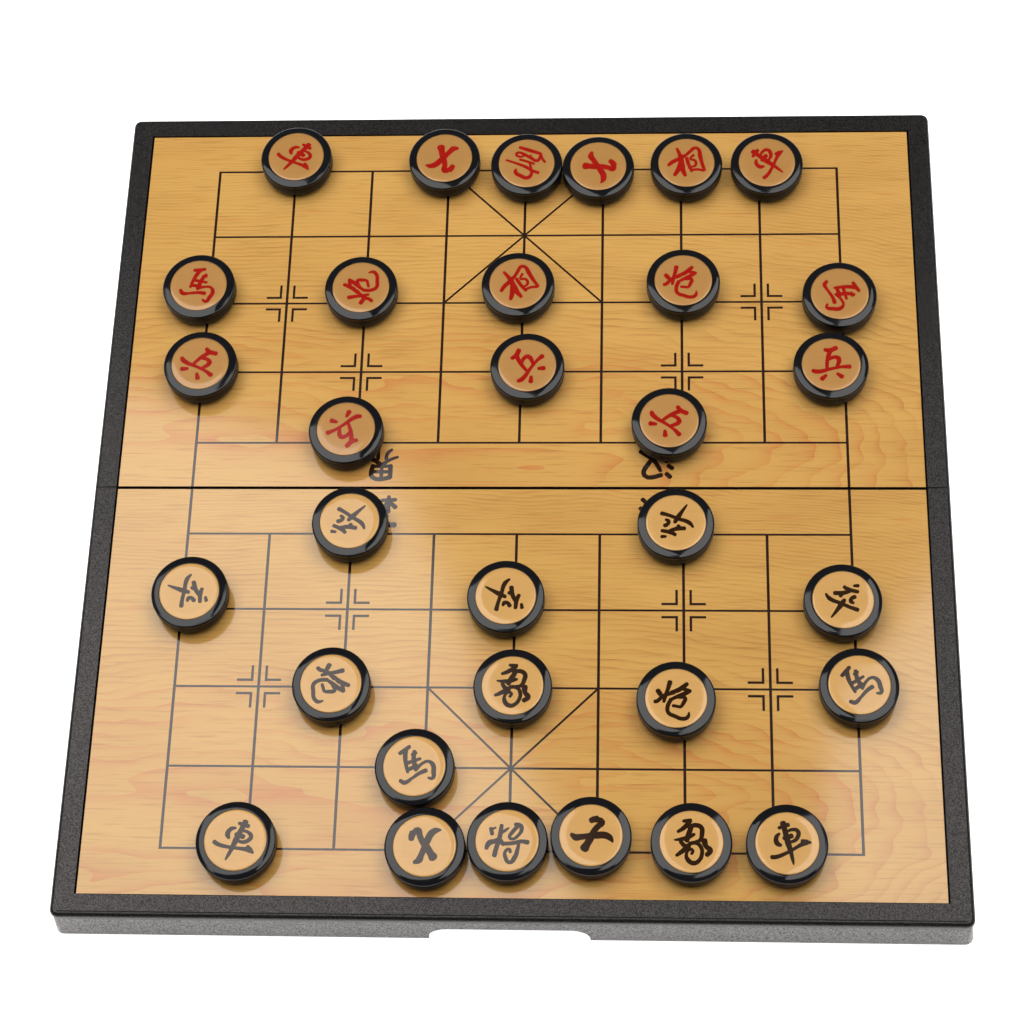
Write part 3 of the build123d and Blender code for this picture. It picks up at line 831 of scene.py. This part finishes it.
def grid_bars(settings):
    """Lines and corner marks of the near half."""
    # Lines that cross differ a little in height, so that no two tops share a plane.
    bank = -settings.river_width / 2
    ranks = [bank - settings.rank_spacing * step for step in range(5)]
    cannon_rank, back = ranks[2], ranks[-1]
    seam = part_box("near_board_panel")[1].y
    height = settings.ink_height
    level = BOARD_TOP - height / 2
    end = OUTER_FILE * settings.file_spacing + settings.file_line / 2
    bars = [bar((-end, y), (end, y), settings.rank_line, level, height) for y in ranks]
    for file in range(-OUTER_FILE, OUTER_FILE + 1):
        x = file * settings.file_spacing
        start = seam if abs(file) == OUTER_FILE else bank
        bars.append(bar((x, start), (x, back), settings.file_line, level, height * 1.1))
    palace = settings.file_spacing
    for side in (-1, 1):
        bars.append(bar((-side * palace, cannon_rank), (side * palace, back),
                        settings.rank_line, level, height * (1.2 + 0.05 * side)))
    for files, y in (((-3, 3), cannon_rank), ((-4, -2, 0, 2, 4), ranks[1])):
        for file in files:
            bars += corner_marks(file * settings.file_spacing, y, settings, level,
                                 height * 1.35)
    return bars


def board_print(settings):
    """Print of both halves: the same lines turned about, with their own river signs."""
    near_lines = join(grid_bars(settings), "near_board_print")
    far_lines = copy_of(near_lines, "far_board_print", Matrix.Identity(4))
    for half, lines, signs, turn in (("near", near_lines, ("chu", "he"), 0),
                                     ("far", far_lines, ("han", "jie"), 180)):
        pieces = [lines]
        for sign, side in zip(signs, (-1, 1)):
            piece = brush_sign(f"{half}_sign_{sign}", sign, settings.sign_size,
                               settings.ink_height)
            piece.data.transform(Matrix.Translation(
                (side * settings.sign_place, -settings.sign_depth, BOARD_TOP)))
            pieces.append(piece)
        whole = join(pieces, f"{half}_board_print")
        whole.data.transform(Matrix.Rotation(radians(turn), 4, "Z"))
        whole.data.update()
        yield half, whole


def round_ring(item, radius, level, amount, segments):
    """Rounds the circular edge of one radius and level."""
    mesh = item.data
    bpy.ops.mesh.select_all(action="DESELECT")
    bpy.ops.object.mode_set(mode="OBJECT")
    near = [abs(vertex.co.xy.length - radius) < 2 * SLACK
            and abs(vertex.co.z - level) < 2 * SLACK for vertex in mesh.vertices]
    for edge in mesh.edges:
        edge.select = all(near[index] for index in edge.vertices)
    bpy.ops.object.mode_set(mode="EDIT")
    bpy.ops.mesh.select_mode(type="EDGE")
    bpy.ops.mesh.bevel(offset=amount, segments=segments, affect="EDGES")
    bpy.ops.mesh.select_mode(type="FACE")


def sink(item, level, thickness, depth):
    """Insets the flat face at one level and pushes it along Z."""
    select_faces(item.data, lambda face: abs(face.center.z - level) < SLACK
                 and abs(face.normal.z) > 0.9)
    bpy.ops.mesh.inset(thickness=thickness, depth=0)
    bpy.ops.mesh.extrude_region_move(TRANSFORM_OT_translate={"value": (0, 0, depth)})


def man_cup(settings):
    """Cup of one man on the origin: sloping rim, sunk top, pocket for the magnet below."""
    # The rim falls away from the disc, gently at first: width and fall of each part, in mm,
    # from the shoulder inwards.
    slopes = ((0.3, 0.1), (0.45, 0.1), (0.5, 0.085), (0.5, 0.07))
    shoulder = MAN_HEIGHT - sum(fall for _, fall in slopes) * MM
    cup = blank(MAN_RADIUS, 0, shoulder)
    round_ring(cup, MAN_RADIUS, shoulder, settings.shoulder_radius, 4)
    round_ring(cup, MAN_RADIUS, 0, settings.foot_radius, 6)
    level, flat = shoulder, MAN_RADIUS - settings.shoulder_radius
    for width, fall in slopes:
        select_faces(cup.data, lambda face, top=level: face.center.z > top - SLACK)
        bpy.ops.mesh.inset(thickness=width * MM, depth=fall * MM)
        level, flat = level + fall * MM, flat - width * MM
    hole = settings.face_radius + settings.fit
    sink(cup, MAN_HEIGHT, flat - hole, settings.face_rise - settings.face_thickness)
    round_ring(cup, hole, MAN_HEIGHT, settings.hole_edge, 2)
    pocket = settings.magnet_radius + settings.fit
    sink(cup, 0, MAN_RADIUS - settings.foot_radius - pocket,
         settings.magnet_inset + settings.magnet_thickness)
    return shaped(cup)


def man_face(settings):
    """Disc in the cup's top, flat in its middle, its rim falling off and its edge rounded."""
    # Width of each part, in mm, and its share of the fall, from the edge inwards. The last
    # keeps the flat middle's shading apart from the rim's.
    parts = ((0.6, 0.8), (1.2, 0.2), (0.5, 0.0))
    top = MAN_HEIGHT + settings.face_rise - settings.face_fall
    disc = blank(settings.face_radius, top - settings.face_thickness + settings.face_fall, top)
    select_faces(disc.data, lambda face: face.center.z > top - SLACK)
    for width, share in parts:
        bpy.ops.mesh.inset(thickness=width * MM, depth=share * settings.face_fall)
    round_ring(disc, settings.face_radius, top, settings.face_edge, 3)
    return shaped(disc)


def man_magnet(settings):
    """Round magnet in the pocket of the foot, its edge broken."""
    low, high = settings.magnet_inset, settings.magnet_inset + settings.magnet_thickness
    magnet = blank(settings.magnet_radius, low, high, vertices=48)
    for level in (low, high):
        round_ring(magnet, settings.magnet_radius, level, settings.magnet_edge, 2)
    return shaped(magnet)


def man_place(man):
    """Where a man stands, and how it is turned."""
    low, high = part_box(man)
    return (Matrix.Translation(((low.x + high.x) / 2, (low.y + high.y) / 2, low.z))
            @ Matrix.Rotation(radians(TURNS[man]), 4, "Z"))


def set_out(model, part, men, material, slot):
    """Copies one model to each of these men, and takes the model away."""
    dress(model, material)
    made = []
    for man in men:
        piece = copy_of(model, f"{man}_{part}", man_place(man))
        seat(piece, man, slot)
        made.append(piece)
    bpy.data.objects.remove(model)
    return made


# ---- Operators -------------------------------------------------------------------------

def softbox(name, corner, along, down, width, height, power):
    """Area light whose back top corner and two edges are given."""
    data = bpy.data.lights.new(name, "AREA")
    data.shape = "RECTANGLE"
    data.size, data.size_y = width, height
    data.energy = power
    light = bpy.data.objects.new(name, data)
    x = Vector(along).normalized()
    back = Vector(down).cross(x).normalized()
    y = back.cross(x)
    middle = Vector(corner) + x * width / 2 + Vector(down).normalized() * height / 2
    turn = Matrix((x, y, back)).transposed().to_4x4()
    light.matrix_world = Matrix.Translation(middle) @ turn
    bpy.context.scene.collection.objects.link(light)
    return light


class XIANGQI_OT_studio(bpy.types.Operator):
    """Sets the floor, the softboxes, the ceiling's and the room's light, and the camera"""
    bl_idname = "xiangqi.studio"
    bl_label = "Studio"

    def execute(self, context):
        settings = context.scene.xiangqi_studio
        deselect()
        bpy.ops.mesh.primitive_plane_add(size=FLOOR_SIDE, location=(0, 0, -FLOOR_GAP))
        floor = context.view_layer.objects.active
        floor.name = "floor"
        settle(floor)
        dress(floor, floor_paper(settings))
        for name, power, corner, along, down, width, height in LIGHTS:
            light = softbox(name, corner, along, down, width, height, getattr(settings, power))
            # The ceiling's light evens the shades and isn't mirrored.
            light.visible_glossy = name != "ceiling"
        world = bpy.data.worlds.new("room")
        world.use_nodes = True
        background = world.node_tree.nodes["Background"]
        background.inputs["Color"].default_value = settings.room
        background.inputs["Strength"].default_value = settings.fill
        context.scene.world = world
        context.scene.view_settings.view_transform = "Standard"
        data = bpy.data.cameras.new("camera")
        data.sensor_width = SENSOR_WIDTH
        data.lens = settings.lens
        camera = bpy.data.objects.new("camera", data)
        camera.location = CAMERA_PLACE
        camera.rotation_euler = [radians(turn) for turn in CAMERA_TURN]
        context.scene.collection.objects.link(camera)
        context.scene.camera = camera
        return {"FINISHED"}


class XIANGQI_OT_case(bpy.types.Operator):
    """Gives both moulded halves their grained plastic"""
    bl_idname = "xiangqi.case"
    bl_label = "Case halves"

    def execute(self, context):
        plastic = case_plastic(context.scene.xiangqi_case)
        for half in HALVES:
            dress(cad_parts[f"{half}_case_shell"], plastic)
        return {"FINISHED"}


class XIANGQI_OT_metal(bpy.types.Operator):
    """Gives the hinge pins and the steel sheets under the board their metal"""
    bl_idname = "xiangqi.metal"
    bl_label = "Pins and steel sheets"

    def execute(self, context):
        # Drawn wire, cut to length, and cold rolled sheet, zinc plated.
        pin = lined_steel("pin_drawn_steel_wire", (12.5, 0.25, 0.25), 2.0, (0.2, 0.38),
                          ("#9a9da1", "#c9cbcd"))
        sheet = lined_steel("sheet_steel_zinc_plated", (16.67, 0.4, 16.67), 3.0, (0.28, 0.5),
                            ("#a9adb2", "#c3c6c9"))
        for side in ("left", "right"):
            dress(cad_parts[f"hinge_pin_{side}"], pin)
        for half in HALVES:
            dress(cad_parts[f"{half}_steel_plate"], sheet)
        return {"FINISHED"}


class XIANGQI_OT_board(bpy.types.Operator):
    """Gives both panels their printed laminate"""
    bl_idname = "xiangqi.board"
    bl_label = "Board panels"

    def execute(self, context):
        for half in HALVES:
            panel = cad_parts[f"{half}_board_panel"]
            dress(panel, board_laminate(context.scene.xiangqi_board, half))
        return {"FINISHED"}


class XIANGQI_OT_print(bpy.types.Operator):
    """Prints the lines, corner marks and river signs on both panels"""
    bl_idname = "xiangqi.print"
    bl_label = "Board print"

    def execute(self, context):
        settings = context.scene.xiangqi_board
        deselect()
        material = ink("board_screen_ink", settings.ink, LAMINATE_IOR)
        for half, whole in board_print(settings):
            dress(whole, material)
            seat(whole, HALVES[half], "board_laminate")
        return {"FINISHED"}


class XIANGQI_OT_cups(bpy.types.Operator):
    """Puts a turned cup in the place of each man"""
    bl_idname = "xiangqi.cups"
    bl_label = "Cups of the men"

    def execute(self, context):
        settings = context.scene.xiangqi_men
        cups = set_out(man_cup(settings), "cup", MEN, cup_plastic(settings), "piece_plastic")
        for man, cup in zip(MEN, cups):
            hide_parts(man)
        return {"FINISHED"}


class XIANGQI_OT_faces(bpy.types.Operator):
    """Lays the printed disc in each cup"""
    bl_idname = "xiangqi.faces"
    bl_label = "Faces of the men"

    def execute(self, context):
        settings = context.scene.xiangqi_men
        # The red men's film is the same film painted darker, a painted shade for the far half.
        for army, ground in (("red", settings.far_face_shaded), ("black", settings.face)):
            army_men = [man for man in MEN if man.startswith(army)]
            set_out(man_face(settings), "face", army_men, face_film(army, ground),
                    "piece_face")
        return {"FINISHED"}


class XIANGQI_OT_signs(bpy.types.Operator):
    """Prints each man's sign on its face"""
    bl_idname = "xiangqi.signs"
    bl_label = "Signs of the men"

    def execute(self, context):
        settings = context.scene.xiangqi_men
        inks = {"red": (ink("sign_red_ink", settings.red, LACQUER_IOR), "red_mark"),
                "black": (ink("sign_dark_ink", settings.dark, LACQUER_IOR), "dark_mark")}
        level = Matrix.Translation((0, 0, MAN_HEIGHT + settings.face_rise))
        for army, (material, slot) in inks.items():
            army_men = [man for man in MEN if man.startswith(army)]
            for sign in sorted({sign_on(man) for man in army_men}):
                model = brush_sign(f"sign_{sign}", sign, settings.sign_size,
                                   settings.sign_height)
                model.data.transform(level)
                bearers = [man for man in army_men if sign_on(man) == sign]
                set_out(model, "sign", bearers, material, slot)
        return {"FINISHED"}


class XIANGQI_OT_magnets(bpy.types.Operator):
    """Puts a magnet in the foot of each man"""
    bl_idname = "xiangqi.magnets"
    bl_label = "Magnets of the men"

    def execute(self, context):
        settings = context.scene.xiangqi_men
        set_out(man_magnet(settings), "magnet", MEN, magnet_ferrite(), "magnet_ferrite")
        return {"FINISHED"}


OPERATORS = (XIANGQI_OT_studio, XIANGQI_OT_case, XIANGQI_OT_metal, XIANGQI_OT_board,
             XIANGQI_OT_print, XIANGQI_OT_cups, XIANGQI_OT_faces, XIANGQI_OT_signs,
             XIANGQI_OT_magnets)


class XIANGQI_PT_sidebar(bpy.types.Panel):
    """Sidebar with the settings' operators"""
    bl_idname = "XIANGQI_PT_sidebar"
    bl_label = "Folding Xiangqi Set"
    bl_space_type = "VIEW_3D"
    bl_region_type = "UI"
    bl_category = "Xiangqi"

    def draw(self, context):
        for operator in OPERATORS:
            self.layout.operator(operator.bl_idname)


SETTINGS = {"xiangqi_studio": StudioSettings, "xiangqi_case": CaseSettings,
            "xiangqi_board": BoardSettings, "xiangqi_men": ManSettings}
CLASSES = (*SETTINGS.values(), *OPERATORS, XIANGQI_PT_sidebar)


def register():
    """Registers the classes and hangs the settings on the scene."""
    for item in CLASSES:
        bpy.utils.register_class(item)
    for name, group in SETTINGS.items():
        setattr(bpy.types.Scene, name, bpy.props.PointerProperty(type=group))


def unregister():
    """Takes the settings and the classes away."""
    for name in SETTINGS:
        delattr(bpy.types.Scene, name)
    for item in reversed(CLASSES):
        bpy.utils.unregister_class(item)


def main():
    """Builds the whole set in order."""
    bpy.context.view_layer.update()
    register()
    for operator in OPERATORS:
        group, name = operator.bl_idname.split(".")
        getattr(getattr(bpy.ops, group), name)()


if __name__ == "__main__":
    main()
